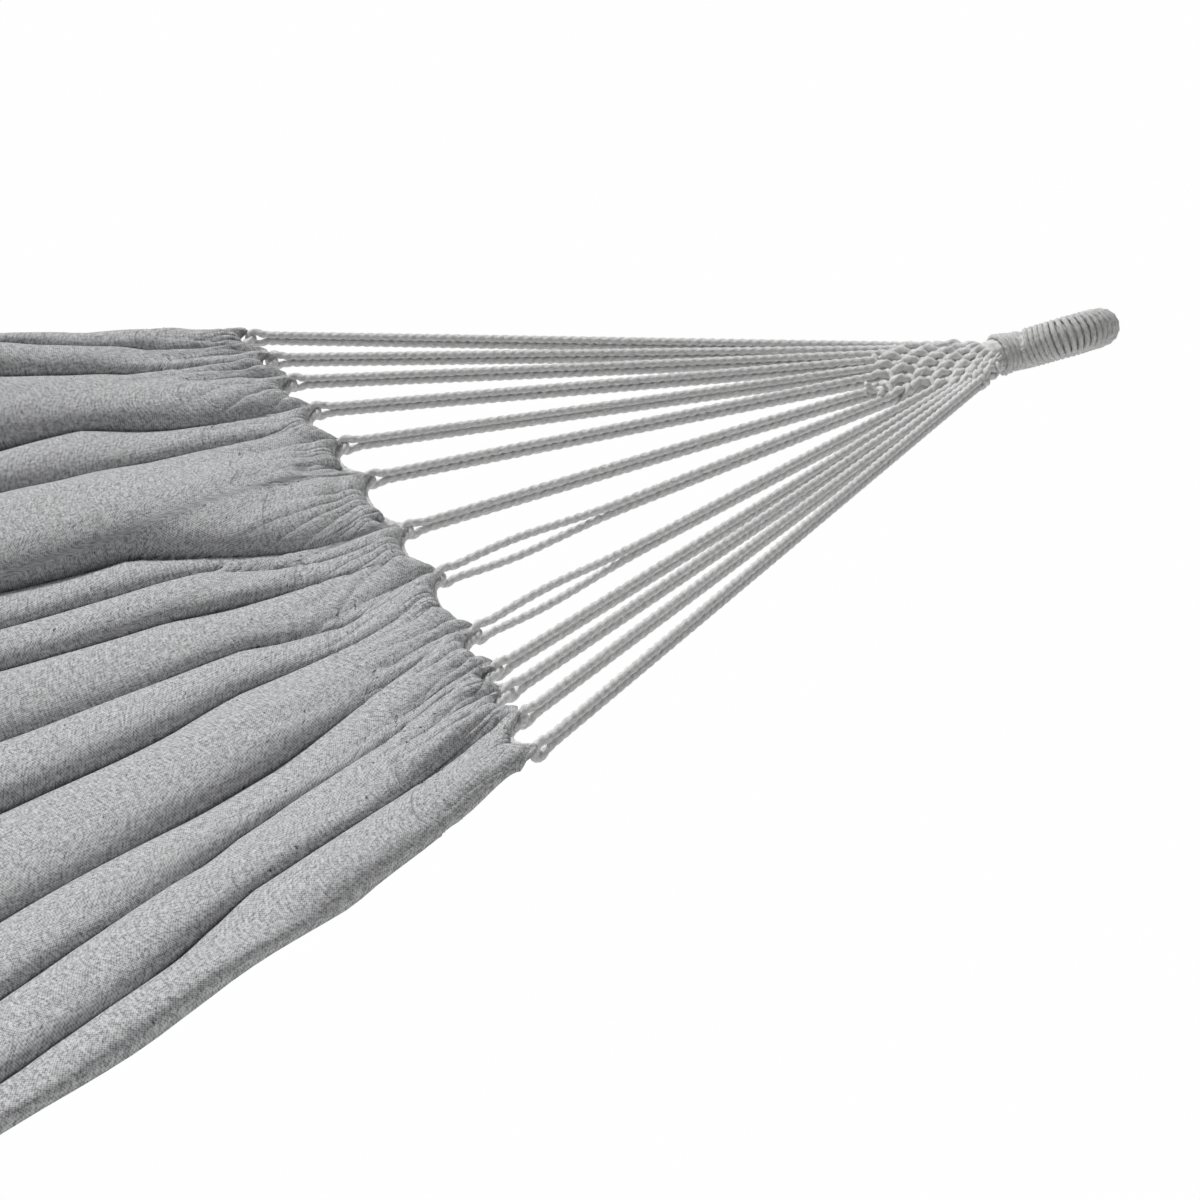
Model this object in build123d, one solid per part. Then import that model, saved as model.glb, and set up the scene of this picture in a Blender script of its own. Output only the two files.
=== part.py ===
from build123d import *
import os
from math import asin, atan2, acos, ceil, cos, degrees, hypot, pi, radians, sin, tan

# Cotton hammock of the Brazilian kind, hung empty between two hooks.
# The origin is the point where the right-hand eye bears on its hook.
# X runs along the hammock, with the bed on the -X side; Y runs across it and Z is up.
# The right-hand end is modelled, and the left-hand end is its mirror image.

# Hang of the bed cloth, level lengths and drops
BED_LENGTH = 2000.0  # hem corner to hem corner along a side edge
CLEW_REACH = 580.0  # hook to the line of the hem corners
HEM_HALF_WIDTH = 328.0  # half the gathered hem
MIDDLE_HALF_WIDTH = 628.0  # half the bed at mid length
HEM_DROP = 36.0  # hem corners below the hooks
EDGE_SAG = 32.0  # further drop of the side edges at mid length
HEM_BOW = 30.0  # middle of the hem, nearer the hook than its corners
HEM_SAG = 30.0  # middle of the hem, below its corners
TROUGH_DEPTH = 140.0  # middle of the bed, below its side edges
CLOTH_T = 2.4  # canvas with its nap, as one solid

# Places of the 13 clew cord pairs along the gathered hem, far side first, as shares of the half width
NOTCH_SHARES = (1, 0.88, 0.77, 0.63, 0.46, 0.29, 0.04, -0.19, -0.46, -0.63, -0.73, -0.85, -1)

# Cross-sections of the bed: place along the half bed, and how high the folds stand there
FOLD_STATIONS = (0.0, 0.06, 0.15, 0.32, 0.6, 1.0)
FOLD_HEIGHTS = (4.0, 15.0, 24.0, 26.0, 20.0, 13.0)
FOLD_LINES = 4  # straight lines across each fold
HEM_OVERRUN = 50.0  # the cloth is made this much too long, then cut to its hem line

# Cords are four-sided, with straight faces, so that the many of them stay light
CORD_SIDE_SHARE = 0.8  # side of a four-sided cord, for its diameter
BEND_STEP = 30.0  # degrees, the most that a cord turns from one straight face to the next
SOFT_GAP = 0.3  # between cords and what they bear on
FLATNESS = 1e-8  # a four-cornered face bent by more than this is made as two triangles

# Hem tunnels and the header cord in them
HEADER_D = 6.0
TUNNEL_WALL = 1.5
TUNNEL_SIDES = 6
NOTCH_DEPTH = 17.0  # tunnel mouths behind the header cord's bights
NOTCH_WIDTH = 29.0  # between two tunnel mouths
MOUTH_ROOM = 4.0  # straight stretch of the header cord outside a mouth
BIGHT_RADIUS = 7.0  # header cord's centre line round a pair
BIGHT_REACH = 5.0  # corner of the header cord's route, beyond the bight that rounds it
MOUTH_RADIUS = 5.5  # header cord's centre line where it leaves a tunnel
BEND_SHARE = 0.6  # of the shorter run beside a bend, the most that the bend takes
HEADER_TAIL = 14.0  # past the outermost pair, to the middle of the end knot
HEADER_KNOT_D = 12.0
SCALLOP_SET = 5.0  # the cloth's edge stands this far out from the tunnel's middle
NOTCH_FLOOR = 9.0  # and in a notch it lies this far behind the tunnel's middle

# Clew cords
ROPE_D = 6.0
PAIR_SPACING = 7.0  # between the two cords of a pair at the harness
BIGHT_ROOM = 0.8  # more than SOFT_GAP, for the header cord's curve inside a pair

# Woven harness: distance from the throat, reach to the far and to the near side, thickness
HARNESS_STATIONS = (
    (16.0, 29.0, 26.0, 22.0),
    (36.0, 50.0, 38.0, 18.0),
    (52.0, 46.0, 40.0, 18.0),
    (64.0, 42.0, 27.0, 17.0),
    (88.0, 17.0, 16.0, 16.0),
    (104.0, -1.0, 15.0, 15.0),
)
HARNESS_GRIP = 22.0  # clew cords are first run this far into the harness, then trimmed
WEFT_KNOT_D = 10.0
WEFT_TAIL_D = 5.0
WEFT_TAIL = 9.0

# Hanging eye and neck
EYE_PITCH = 4.5  # degrees, eye rising towards its hook
EYE_ROLL = -33.0  # degrees, plane of the eye about its own axis
EYE_CORE_D = 22.0
EYE_BEND_R = 31.0  # centre line of the bend that bears on the hook
EYE_LENGTH = 87.0  # outside of the bend to the neck
EYE_BEND_STEP = 18.0  # degrees, from one straight face of the core's bend to the next
LEG_SPREAD = 6.0  # half the distance between the two legs at the neck
NECK_LENGTH = 19.0
THROAT_D = 27.0
THROAT_GAP = 0.3
WHIP_D = 3.2
WHIP_SEAT = 0.7  # between the whipping cord and the core's flats
WHIP_FACES = 8  # of the core, and so straight runs in one turn of whipping
EYE_TURNS = 20
NECK_TURNS = 3

PAIRS = len(NOTCH_SHARES)
TUNNELS = PAIRS - 1
HALF_BED = BED_LENGTH / 2
MIDDLE_X = -CLEW_REACH - HALF_BED
HEADER_SIDE = HEADER_D * CORD_SIDE_SHARE
ROPE_SIDE = ROPE_D * CORD_SIDE_SHARE
WHIP_SIDE = WHIP_D * CORD_SIDE_SHARE
TUNNEL_BORE_R = HEADER_SIDE / 2**0.5 + SOFT_GAP
TUNNEL_R = TUNNEL_BORE_R + TUNNEL_WALL
PAIR_BIGHT_R = HEADER_SIDE / 2**0.5 + SOFT_GAP + BIGHT_ROOM + ROPE_SIDE / 2
WHIP_OFFSET = WHIP_SEAT + WHIP_SIDE / 2  # core's flats to the whipping cord's centre line
EYE_BAR_R = EYE_CORE_D / 2 + WHIP_OFFSET + WHIP_SIDE / 2
BEND_X = -(EYE_BEND_R - EYE_BAR_R)  # centre of the bend, along the eye's own axis
NECK_X = EYE_BEND_R + EYE_BAR_R + BEND_X - EYE_LENGTH
THROAT_REACH = NECK_LENGTH - NECK_X
THROAT_X = -THROAT_REACH * cos(radians(EYE_PITCH))
THROAT_Z = -THROAT_REACH * sin(radians(EYE_PITCH))
EYE_AXIS = Axis((0, 0, 0), (cos(radians(EYE_PITCH)), 0, sin(radians(EYE_PITCH))))
EYE_FLAT = Vector(-sin(radians(EYE_PITCH)), 0, cos(radians(EYE_PITCH)))
EYE_PLANE = Plane(origin=(0, 0, 0), x_dir=EYE_AXIS.direction, z_dir=EYE_FLAT.rotate(EYE_AXIS, EYE_ROLL))


def ease(s):
    """Quarter wave of a parabola: 0 at the hem, 1 at mid length, level there."""
    return 1 - (1 - max(0.0, min(s, 1.0))) ** 2


def bed_point(s, across):
    """Point of the bed's smooth middle surface.

    s runs from 0 at the hem to 1 at mid length, across from 1 at the far edge to -1 at the near one.
    """
    half = HEM_HALF_WIDTH + (MIDDLE_HALF_WIDTH - HEM_HALF_WIDTH) * ease(s)
    dip = HEM_SAG + (TROUGH_DEPTH - HEM_SAG) * ease(s)
    edge_z = -HEM_DROP - EDGE_SAG * ease(s)
    return Vector(-CLEW_REACH - s * HALF_BED, half * across, edge_z - dip * (1 - across**2))


def fold_share(s, j):
    """Place across the bed of the valley between folds j - 1 and j, spreading evenly away from the hem."""
    even = 1 - 2 * j / TUNNELS
    return NOTCH_SHARES[j] + (even - NOTCH_SHARES[j]) * ease(s)


def bed_section(s, height):
    """Points round the cloth at one station: a raised fold between each two valleys."""
    valleys = [bed_point(s, fold_share(s, j)) for j in range(PAIRS)]
    middle = valleys[:1]
    for a, b in zip(valleys, valleys[1:]):
        for k in range(1, FOLD_LINES + 1):
            u = k / FOLD_LINES
            middle.append(a + (b - a) * u + Vector(0, 0, 4 * height * u * (1 - u)))
    lift = Vector(0, 0, CLOTH_T / 2)
    return [p + lift for p in middle] + [p - lift for p in reversed(middle)]


def skin(rings):
    """Solid with straight faces from each ring of points to the next, and across the first and the last."""
    faces = [Face(Wire.make_polygon(rings[0])), Face(Wire.make_polygon(rings[-1]))]
    for near, far in zip(rings, rings[1:]):
        for k in range(len(near)):
            a, b, c, d = near[k - 1], near[k], far[k], far[k - 1]
            if abs((b - a).cross(d - a).normalized().dot(c - a)) < FLATNESS:
                faces.append(Face(Wire.make_polygon([a, b, c, d])))
            else:
                faces += [Face(Wire.make_polygon([a, b, c])), Face(Wire.make_polygon([a, c, d]))]
    return Solid(Shell(faces))


def notch_point(j):
    """Centre of the header cord where pair j pulls it out of the hem."""
    share = NOTCH_SHARES[j]
    return bed_point(0, share) + Vector(HEM_BOW * (1 - share**2), 0, 0)


def throat_target(j):
    """Where the middle of pair j would reach the throat."""
    return Vector(THROAT_X, THROAT_D / 2 * (1 - 2 * j / TUNNELS), THROAT_Z)


def pair_direction(j):
    """Unit vector from the hem towards the harness along pair j."""
    return (throat_target(j) - notch_point(j)).normalized()


def tunnel_ends(j):
    """Mouths of the hem tunnel between notches j and j + 1, on the header cord's centre line."""
    a, b = notch_point(j), notch_point(j + 1)
    along = (b - a).normalized()
    back = Vector(-NOTCH_DEPTH, 0, 0)
    return a + along * (NOTCH_WIDTH / 2) + back, b - along * (NOTCH_WIDTH / 2) + back


def tunnel_bar(j, radius, overrun=0.0):
    """Flat-sided bar along tunnel j, this far from its axis to each side and this far past its mouths."""
    a, b = tunnel_ends(j)
    profile = RegularPolygon(radius, TUNNEL_SIDES, major_radius=False)
    plane = Plane(origin=a, z_dir=b - a).offset(-overrun)
    return extrude(plane * profile, (b - a).length + 2 * overrun)


def hem_blank():
    """Plan of half the cloth, a prism whose end follows the hem's scallops."""
    points = []
    out, floor = Vector(SCALLOP_SET, 0, 0), Vector(-NOTCH_FLOOR, 0, 0)
    for j in range(TUNNELS):
        a, b = tunnel_ends(j)
        points += [a + floor, a + out, b + out, b + floor]
    reach = MIDDLE_HALF_WIDTH + HEM_OVERRUN
    deep = HEM_DROP + EDGE_SAG + TROUGH_DEPTH + HEM_OVERRUN
    outline = [(points[0].X, reach)] + [(p.X, p.Y) for p in points] + [(points[-1].X, -reach)]
    outline += [(MIDDLE_X - HEM_OVERRUN, -reach), (MIDDLE_X - HEM_OVERRUN, reach)]
    face = make_face(Polyline(*outline, close=True))
    return extrude(Plane.XY.offset(-deep) * face, deep + HEM_OVERRUN)


def bed_cloth():
    """Canvas bed with its lengthwise folds, its scalloped hems and the tunnels for the header cords."""
    stations = [(-HEM_OVERRUN / HALF_BED, FOLD_HEIGHTS[0])] + list(zip(FOLD_STATIONS, FOLD_HEIGHTS))
    outlines = [Wire.make_polygon(bed_section(s, height)) for s, height in stations]
    half = Solid.make_loft(outlines, ruled=True)
    half = half & hem_blank()
    half = half + [tunnel_bar(j, TUNNEL_R) for j in range(TUNNELS)]
    half = half - [tunnel_bar(j, TUNNEL_BORE_R, MOUTH_ROOM) for j in range(TUNNELS)]
    return half + left_end(half)


def left_end(shape):
    """Mirror image of a right-hand piece, at the left-hand end."""
    return mirror(shape, about=Plane(origin=(MIDDLE_X, 0, 0), z_dir=(1, 0, 0)))


def octagon(width, thick):
    """Corners of an octagon this wide and thick, whose chamfers are those of a regular one."""
    x, y = width / 2, thick / 2
    cut = min(width, thick) * (1 - 0.5**0.5)
    quarter = [(x, y - cut), (x - cut, y)]
    half = quarter + [(-u, v) for u, v in reversed(quarter)]
    return half + [(-u, -v) for u, v in half]


def ring(plane, width, thick):
    """Octagon on a plane."""
    return [plane.from_local_coords((x, y, 0)) for x, y in octagon(width, thick)]


def heading(stations, k):
    """Unit direction of a route at station k, halfway between the two runs that meet there."""
    runs = [(b - a).normalized() for a, b in zip(stations, stations[1:])]
    return (runs[max(k - 1, 0)] + runs[min(k, len(runs) - 1)]).normalized()


def cord(stations, side, guides):
    """Four-sided cord through stations, mitred at each, with one of its flats facing the guide there."""
    sections = []
    for k, (point, guide) in enumerate(zip(stations, guides)):
        along = heading(stations, k)
        out = (guide - along * guide.dot(along)).normalized() * (side / 2)
        up = along.cross(out)
        sections.append([point + out + up, point - out + up, point - out - up, point + out - up])
    return skin(sections)


def knot(centre, axis, size):
    """Small faceted knot, as long as it is thick."""
    middle = Plane(origin=centre, z_dir=axis)
    shape = ((-0.5, 0.6), (-0.2, 1.0), (0.2, 1.0), (0.5, 0.6))
    return skin([ring(middle.offset(place * size), wide * size, wide * size) for place, wide in shape])


def bend_radius(before, corner, after, wanted):
    """Radius wanted at a corner, or the largest that its two runs leave room for."""
    turn = radians((corner - before).get_angle(after - corner))
    room = BEND_SHARE * min((corner - before).length, (after - corner).length)
    return min(wanted, room / tan(turn / 2))


def bend(before, corner, after, radius):
    """Stations along the arc that rounds a corner."""
    back, on = (before - corner).normalized(), (after - corner).normalized()
    turn = radians(180 - back.get_angle(on))
    centre = corner + (back + on).normalized() * (radius / cos(turn / 2))
    arm = corner + back * (radius * tan(turn / 2)) - centre
    steps = ceil(degrees(turn) / BEND_STEP)
    angles = [turn * k / steps for k in range(steps + 1)]
    return [centre + arm * cos(a) - back * (radius * sin(a)) for a in angles]


def header_corners(j):
    """Three corners of the header cord's route at notch j: outside one mouth, round the pair, outside the next."""
    hook = notch_point(j) + pair_direction(j) * BIGHT_REACH
    outward = Vector(0, HEADER_TAIL, 0)
    before, after = hook + outward, hook - outward
    if j:
        start, end = tunnel_ends(j - 1)
        before = end + (end - start).normalized() * MOUTH_ROOM
    if j < TUNNELS:
        start, end = tunnel_ends(j)
        after = start - (end - start).normalized() * MOUTH_ROOM
    return before, hook, after


def header_hub(j):
    """Point of the header cord's bight that faces the harness, which pair j goes round."""
    before, hook, after = header_corners(j)
    back, on = (before - hook).normalized(), (after - hook).normalized()
    inward = (back + on).normalized()
    radius = bend_radius(before, hook, after, BIGHT_RADIUS)
    centre = hook + inward * (radius / sin(radians(back.get_angle(inward))))
    flat = back.cross(on).normalized()
    along = pair_direction(j)
    return centre + (along - flat * along.dot(flat)).normalized() * radius


def header_cord():
    """Cord through all the hem tunnels, pulled out in a bight at each pair, with a knot at each end."""
    points, wanted = [], []
    for j in range(PAIRS):
        points += header_corners(j)
        wanted += [MOUTH_RADIUS, BIGHT_RADIUS, MOUTH_RADIUS]
    corners = list(zip(points, points[1:], points[2:], wanted[1:]))
    radii = [bend_radius(*corner) for corner in corners]
    print("header cord radii, mm:", " ".join(f"{r:.1f}" for r in radii))
    stations = points[:1]
    for (before, corner, after, _), radius in zip(corners, radii):
        stations += bend(before, corner, after, radius)
    stations += points[-1:]
    tube = cord(stations, HEADER_SIDE, [Vector(0, 0, 1)] * len(stations))
    return tube + [knot(points[k], points[k] - points[n], HEADER_KNOT_D) for k, n in ((0, 1), (-1, -2))]


def harness_plane(reach, middle_y):
    """Plane square to the hammock's length, this far from the throat along the harness."""
    drop = reach * sin(radians(EYE_PITCH))
    return Plane(origin=(THROAT_X - reach, middle_y, THROAT_Z - drop), x_dir=(0, 1, 0), z_dir=(-1, 0, 0))


def harness_weave(grow=0.0):
    """Woven triangle of the clew cords, from the round throat to its point; its weave is left out."""
    first, last = THROAT_GAP - grow, HARNESS_STATIONS[-1][0] + grow
    stations = ((first, THROAT_D / 2, THROAT_D / 2, THROAT_D),) + HARNESS_STATIONS[:-1]
    stations += ((last,) + HARNESS_STATIONS[-1][1:],)
    rings = []
    for reach, far, near, thick in stations:
        rings.append(ring(harness_plane(reach, (far - near) / 2), far + near + 2 * grow, thick + 2 * grow))
    return skin(rings)


def harness_sides(reach):
    """Where the harness's far and near flanks lie across, at a distance from the throat."""
    stations = ((0.0, THROAT_D / 2, THROAT_D / 2, THROAT_D),) + HARNESS_STATIONS
    for (x0, far0, near0, _), (x1, far1, near1, _) in zip(stations, stations[1:]):
        if x0 <= reach <= x1:
            share = (reach - x0) / (x1 - x0)
            return far0 + (far1 - far0) * share, -near0 - (near1 - near0) * share
    return 0.0, 0.0


def pair_y(j, reach):
    """Where pair j runs across the hammock, at a distance from the throat along X."""
    target, notch = throat_target(j), notch_point(j)
    return target.Y + (notch.Y - target.Y) * reach / (target.X - notch.X)


def harness_entry(j):
    """Distance from the throat, along X, at which pair j meets the harness."""
    reach = HARNESS_STATIONS[-1][0]
    while reach > 0:
        far, near = harness_sides(reach)
        if near <= pair_y(j, reach) <= far:
            return reach
        reach -= 1.0
    return 0.0


def clew_pair(j, clearance):
    """One cord doubled round the header cord, its two halves running straight into the harness."""
    hub, target = header_hub(j), throat_target(j)
    along = (target - hub).normalized()
    up = (Vector(0, 0, 1) - along * along.Z).normalized()
    inside = min(harness_entry(j) - HARNESS_GRIP, HARNESS_STATIONS[-2][0])
    stop = max(inside, THROAT_GAP) / (target.X - hub.X)
    end = target + (hub - target) * stop
    run = (end - hub).length
    rise = up * (PAIR_SPACING / 2)
    leave = atan2(PAIR_SPACING / 2, run) + acos(PAIR_BIGHT_R / hypot(run, PAIR_SPACING / 2))
    turn = 2 * (pi - leave)
    steps = ceil(degrees(turn) / BEND_STEP)
    angles = [leave + turn * k / steps for k in range(steps + 1)]
    bight = [hub + (along * cos(a) + up * sin(a)) * PAIR_BIGHT_R for a in angles]
    stations = [end + rise] + bight + [end - rise]
    doubled = cord(stations, ROPE_SIDE, [along.cross(up)] * len(stations))
    trimmed = doubled - clearance
    return max(trimmed.solids(), key=lambda s: s.volume)


def weft_knot():
    """Knot that ends the weaving cord at the point of the harness, with its short tail."""
    reach = HARNESS_STATIONS[-1][0] + SOFT_GAP + WEFT_KNOT_D / 2
    nearest = sorted((abs(pair_y(j, reach) + WEFT_KNOT_D / 2), pair_y(j, reach)) for j in range(PAIRS))
    centre = harness_plane(reach, (nearest[0][1] + nearest[1][1]) / 2).origin
    tip = centre + Vector(-WEFT_TAIL, 0, WEFT_TAIL)
    tail = cord([centre, tip], WEFT_TAIL_D * CORD_SIDE_SHARE, [Vector(0, 1, 0)] * 2)
    return knot(centre, Vector(-1, 0, 0), WEFT_KNOT_D) + tail


def leg_angle():
    """Angle between a leg of the eye and the eye's axis: a tangent from the neck to the bend."""
    reach = BEND_X - NECK_X
    return asin(EYE_BEND_R / hypot(reach, LEG_SPREAD)) - atan2(LEG_SPREAD, reach)


def leg_length():
    return (hypot(BEND_X - NECK_X, LEG_SPREAD) ** 2 - EYE_BEND_R**2) ** 0.5


def eye_frame(distance):
    """Plane across the eye's bar, this far along its centre line from the foot of one leg.

    Its x points outward in the plane of the eye.
    """
    angle, length = leg_angle(), leg_length()
    arc = EYE_BEND_R * (pi + 2 * angle)
    if distance < length:
        turn = pi / 2 + angle
        x, y = NECK_X + distance * cos(angle), LEG_SPREAD + distance * sin(angle)
    elif distance < length + arc:
        turn = pi / 2 + angle - (distance - length) / EYE_BEND_R
        x, y = BEND_X + EYE_BEND_R * cos(turn), EYE_BEND_R * sin(turn)
    else:
        back = 2 * length + arc - distance
        turn = -pi / 2 - angle
        x, y = NECK_X + back * cos(angle), -LEG_SPREAD - back * sin(angle)
    outward = EYE_PLANE.x_dir * cos(turn) + EYE_PLANE.y_dir * sin(turn)
    onward = EYE_PLANE.x_dir * sin(turn) - EYE_PLANE.y_dir * cos(turn)
    return Plane(origin=EYE_PLANE.from_local_coords((x, y, 0)), x_dir=outward, z_dir=onward)


def eye_core():
    """Bundle of cords bent to a loop, joined to a neck that ends at the throat."""
    length = leg_length()
    arc = EYE_BEND_R * (pi + 2 * leg_angle())
    steps = ceil(degrees(arc / EYE_BEND_R) / EYE_BEND_STEP)
    rise = EYE_CORE_D / 2 * tan(leg_angle())  # keeps the feet of the legs within the neck
    places = [length + arc * k / steps for k in range(steps + 1)]
    places = [rise] + places + [2 * length + arc - rise]
    loop = skin([ring(eye_frame(place), EYE_CORE_D, EYE_CORE_D) for place in places])
    wide = EYE_CORE_D + 2 * LEG_SPREAD
    neck_plane = Plane(
        origin=EYE_PLANE.from_local_coords((NECK_X, 0, 0)), x_dir=EYE_PLANE.y_dir, z_dir=-EYE_PLANE.x_dir
    )
    throat_plane = Plane(
        origin=(THROAT_X, 0, THROAT_Z), x_dir=Vector(0, 1, 0).rotate(Axis.X, EYE_ROLL), z_dir=(-1, 0, 0)
    )
    outlines = [ring(neck_plane.offset(-NECK_LENGTH / 2), wide, EYE_CORE_D)]
    outlines += [ring(neck_plane, wide, EYE_CORE_D), ring(throat_plane, THROAT_D, THROAT_D)]
    return loop + skin(outlines)


def eye_whipping():
    """Cord wound round the eye's bar from the neck, round the bend and back."""
    length = leg_length()
    clear = EYE_BAR_R / cos(leg_angle()) + WHIP_SIDE  # half the distance between the legs' first turns
    start = (clear - LEG_SPREAD) / sin(leg_angle())
    total = 2 * (length - start) + EYE_BEND_R * (pi + 2 * leg_angle())
    size = EYE_CORE_D + 2 * WHIP_OFFSET
    stations, guides = [], []
    for k in range(EYE_TURNS * WHIP_FACES + 1):
        plane = eye_frame(start + total * k / (EYE_TURNS * WHIP_FACES))
        corner = plane.from_local_coords((*octagon(size, size)[k % WHIP_FACES], 0))
        stations.append(corner)
        guides.append(corner - plane.origin)
    return winding(stations, guides, "eye whipping")


def neck_whipping():
    """Cord wound round the neck, between the eye's legs and the throat."""
    inset = WHIP_SIDE / 2 + WHIP_SEAT
    tilt = THROAT_D * sin(radians(EYE_PITCH))  # the throat's face leans this far over the last turn
    first, last = NECK_X - inset, NECK_X - NECK_LENGTH + inset + tilt
    stations, guides = [], []
    for k in range(NECK_TURNS * WHIP_FACES + 1):
        x = first + (last - first) * k / (NECK_TURNS * WHIP_FACES)
        share = (NECK_X - x) / NECK_LENGTH
        wide = (EYE_CORE_D + 2 * LEG_SPREAD) * (1 - share) + THROAT_D * share
        thick = EYE_CORE_D * (1 - share) + THROAT_D * share
        y, z = octagon(wide + 2 * WHIP_OFFSET, thick + 2 * WHIP_OFFSET)[k % WHIP_FACES]
        stations.append(EYE_PLANE.from_local_coords((x, y, z)))
        guides.append(EYE_PLANE.y_dir * y + EYE_PLANE.z_dir * z)
    return winding(stations, guides, "neck whipping")


def winding(stations, guides, name):
    """One unbroken whipping cord, with a straight run along each flat of what it goes round."""
    turns = len(stations) // WHIP_FACES
    print(f"{name}: {turns} turns, least gap to itself {self_gap(stations):.2f} mm")
    return cord(stations, WHIP_SIDE, guides)


def self_gap(stations):
    """Least distance between points of the winding over half a turn apart, less the cord's side."""
    fine = 4
    points = [a + (b - a) * (k / fine) for a, b in zip(stations, stations[1:]) for k in range(fine)]
    turn = WHIP_FACES * fine
    least = min((p - q).length for i, p in enumerate(points) for q in points[i + turn // 2 : i + 2 * turn])
    return least - WHIP_SIDE


def right_hand_end():
    """Every piece of the right-hand end, by name."""
    clearance = harness_weave(SOFT_GAP)
    pieces = {
        "eye_core": eye_core(),
        "eye_whipping": eye_whipping(),
        "neck_whipping": neck_whipping(),
        "harness_weave": harness_weave(),
        "weft_knot": weft_knot(),
        "header_cord": header_cord(),
    }
    for j in range(PAIRS):
        pieces[f"clew_pair_{j + 1:02d}"] = clew_pair(j, clearance)
    return pieces


def main():
    os.makedirs("parts", exist_ok=True)
    pieces = {"bed_cloth": bed_cloth()}
    for name, shape in right_hand_end().items():
        pieces[f"{name}_right"] = shape
        pieces[f"{name}_left"] = left_end(shape)
    for name, shape in pieces.items():
        export_step(shape, f"parts/{name}.step")


if __name__ == "__main__":
    main()
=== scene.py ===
import bpy
import numpy as np
from bpy.props import FloatProperty, FloatVectorProperty, IntProperty, PointerProperty
from mathutils import Matrix


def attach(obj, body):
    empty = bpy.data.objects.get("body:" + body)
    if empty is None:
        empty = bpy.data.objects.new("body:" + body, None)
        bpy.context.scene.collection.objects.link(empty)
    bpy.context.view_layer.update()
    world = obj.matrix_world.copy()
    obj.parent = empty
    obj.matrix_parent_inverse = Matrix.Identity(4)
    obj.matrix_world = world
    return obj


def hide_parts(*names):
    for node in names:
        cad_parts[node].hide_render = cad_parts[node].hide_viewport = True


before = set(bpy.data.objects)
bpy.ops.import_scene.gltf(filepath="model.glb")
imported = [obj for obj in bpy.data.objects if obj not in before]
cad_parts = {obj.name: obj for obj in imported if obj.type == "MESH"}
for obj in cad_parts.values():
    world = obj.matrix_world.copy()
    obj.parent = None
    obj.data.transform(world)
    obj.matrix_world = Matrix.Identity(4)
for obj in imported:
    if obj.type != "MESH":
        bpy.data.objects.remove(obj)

bl_info = {
    "name": "Cotton Hammock",
    "version": (1, 0, 0),
    "blender": (4, 5, 0),
    "location": "3D View > Sidebar > Hammock",
    "description": "Dresses the packed hammock with cloth, cords and whippings",
    "category": "Object",
}

# All lengths are metres. The right-hand end is worked out, and the left-hand end is its mirror image.
# The frame's origin is where the right-hand eye bears on its hook.
CLEW_REACH, HALF_BED = 0.58, 1.0
MIDDLE_X = -CLEW_REACH - HALF_BED
HEM_HALF, MIDDLE_HALF = 0.328, 0.628
HEM_DROP, EDGE_SAG, HEM_BOW, HEM_SAG, TROUGH = 0.036, 0.032, 0.030, 0.030, 0.140
NOTCHES = np.array([1, 0.88, 0.77, 0.63, 0.46, 0.29, 0.04, -0.19, -0.46, -0.63, -0.73, -0.85, -1])
NOTCH_DEPTH, NOTCH_GAP = 0.017, 0.029
PAIRS = len(NOTCHES)
HEM_DEPTH = 0.080  # hem edge to the end of the doubled cloth
HEADER_REACH = 0.0040  # corner of the header cord's line beyond a notch's centre

# Creases between the bed's folds, from the far edge to the near one: places along the half bed, then across it
CREASES = (
    ((0, 0.2, 1), (0.90, 0.968, 0.93)),
    ((0, 0.014, 0.217, 1), (0.80, 0.825, 0.878, 0.80)),
    ((0, 0.074, 0.159, 0.238, 1), (0.612, 0.629, 0.676, 0.658, 0.60)),
    ((0, 0.056, 0.149, 0.249, 1), (0.54, 0.54, 0.539, 0.545, 0.43)),
    ((0, 0.04, 0.161, 0.273, 1), (0.05, 0.075, 0.262, 0.283, 0.22)),
    ((0, 0.04, 0.113, 0.282, 1), (-0.05, 0.0, 0.137, 0.192, 0.08)),
    ((0, 0.052, 0.16, 0.292, 1), (-0.12, -0.058, 0.023, 0.088, -0.04)),
    ((0, 0.054, 0.116, 0.168, 0.31, 1), (-0.24, -0.232, -0.156, -0.148, -0.114, -0.20)),
    ((0, 0.047, 0.131, 0.184, 0.326, 1), (-0.335, -0.323, -0.278, -0.291, -0.285, -0.36)),
    ((0, 0.059, 0.135, 0.229, 0.351, 1), (-0.50, -0.515, -0.543, -0.543, -0.569, -0.55)),
    ((0, 0.08, 0.18, 0.251, 0.367, 1), (-0.66, -0.671, -0.674, -0.708, -0.769, -0.73)),
    ((0, 0.104, 0.188, 0.26, 0.38, 1), (-0.83, -0.836, -0.839, -0.891, -0.928, -0.90)),
)
FOLD_PLACES, FOLD_HEIGHTS = (0, 0.06, 0.15, 0.32, 0.6, 1), (0.003, 0.012, 0.022, 0.026, 0.020, 0.013)

# Harness, eye and neck
THROAT = np.array([-0.077241, 0.0, -0.006079])
THROAT_R = 0.0135
EYE_PITCH, EYE_ROLL = np.radians(4.5), np.radians(-33.0)
BEND_R, BEND_X, NECK_X, LEG_SPREAD, CORE_R = 0.031, -0.016740, -0.058480, 0.006, 0.011
WOVEN_TO = np.array([39, 61, 65, 79, 86, 92, 96, 95, 68, 56, 46, 42, 32]) / 1000  # reach of the weave along each pair
WEFT_PITCH = 0.0102
NECK_WOUND_TO = -0.0742  # X of the winding's end, short of the throat so that it clears the pairs as they swing
OPEN_PAIRS = {7: 0.0045, 8: 0.0040}  # pairs whose two cords stand apart near the hem
BARE_NOTCHES = (5, 6)  # notches whose header cord shows for some way on the far side

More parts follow.
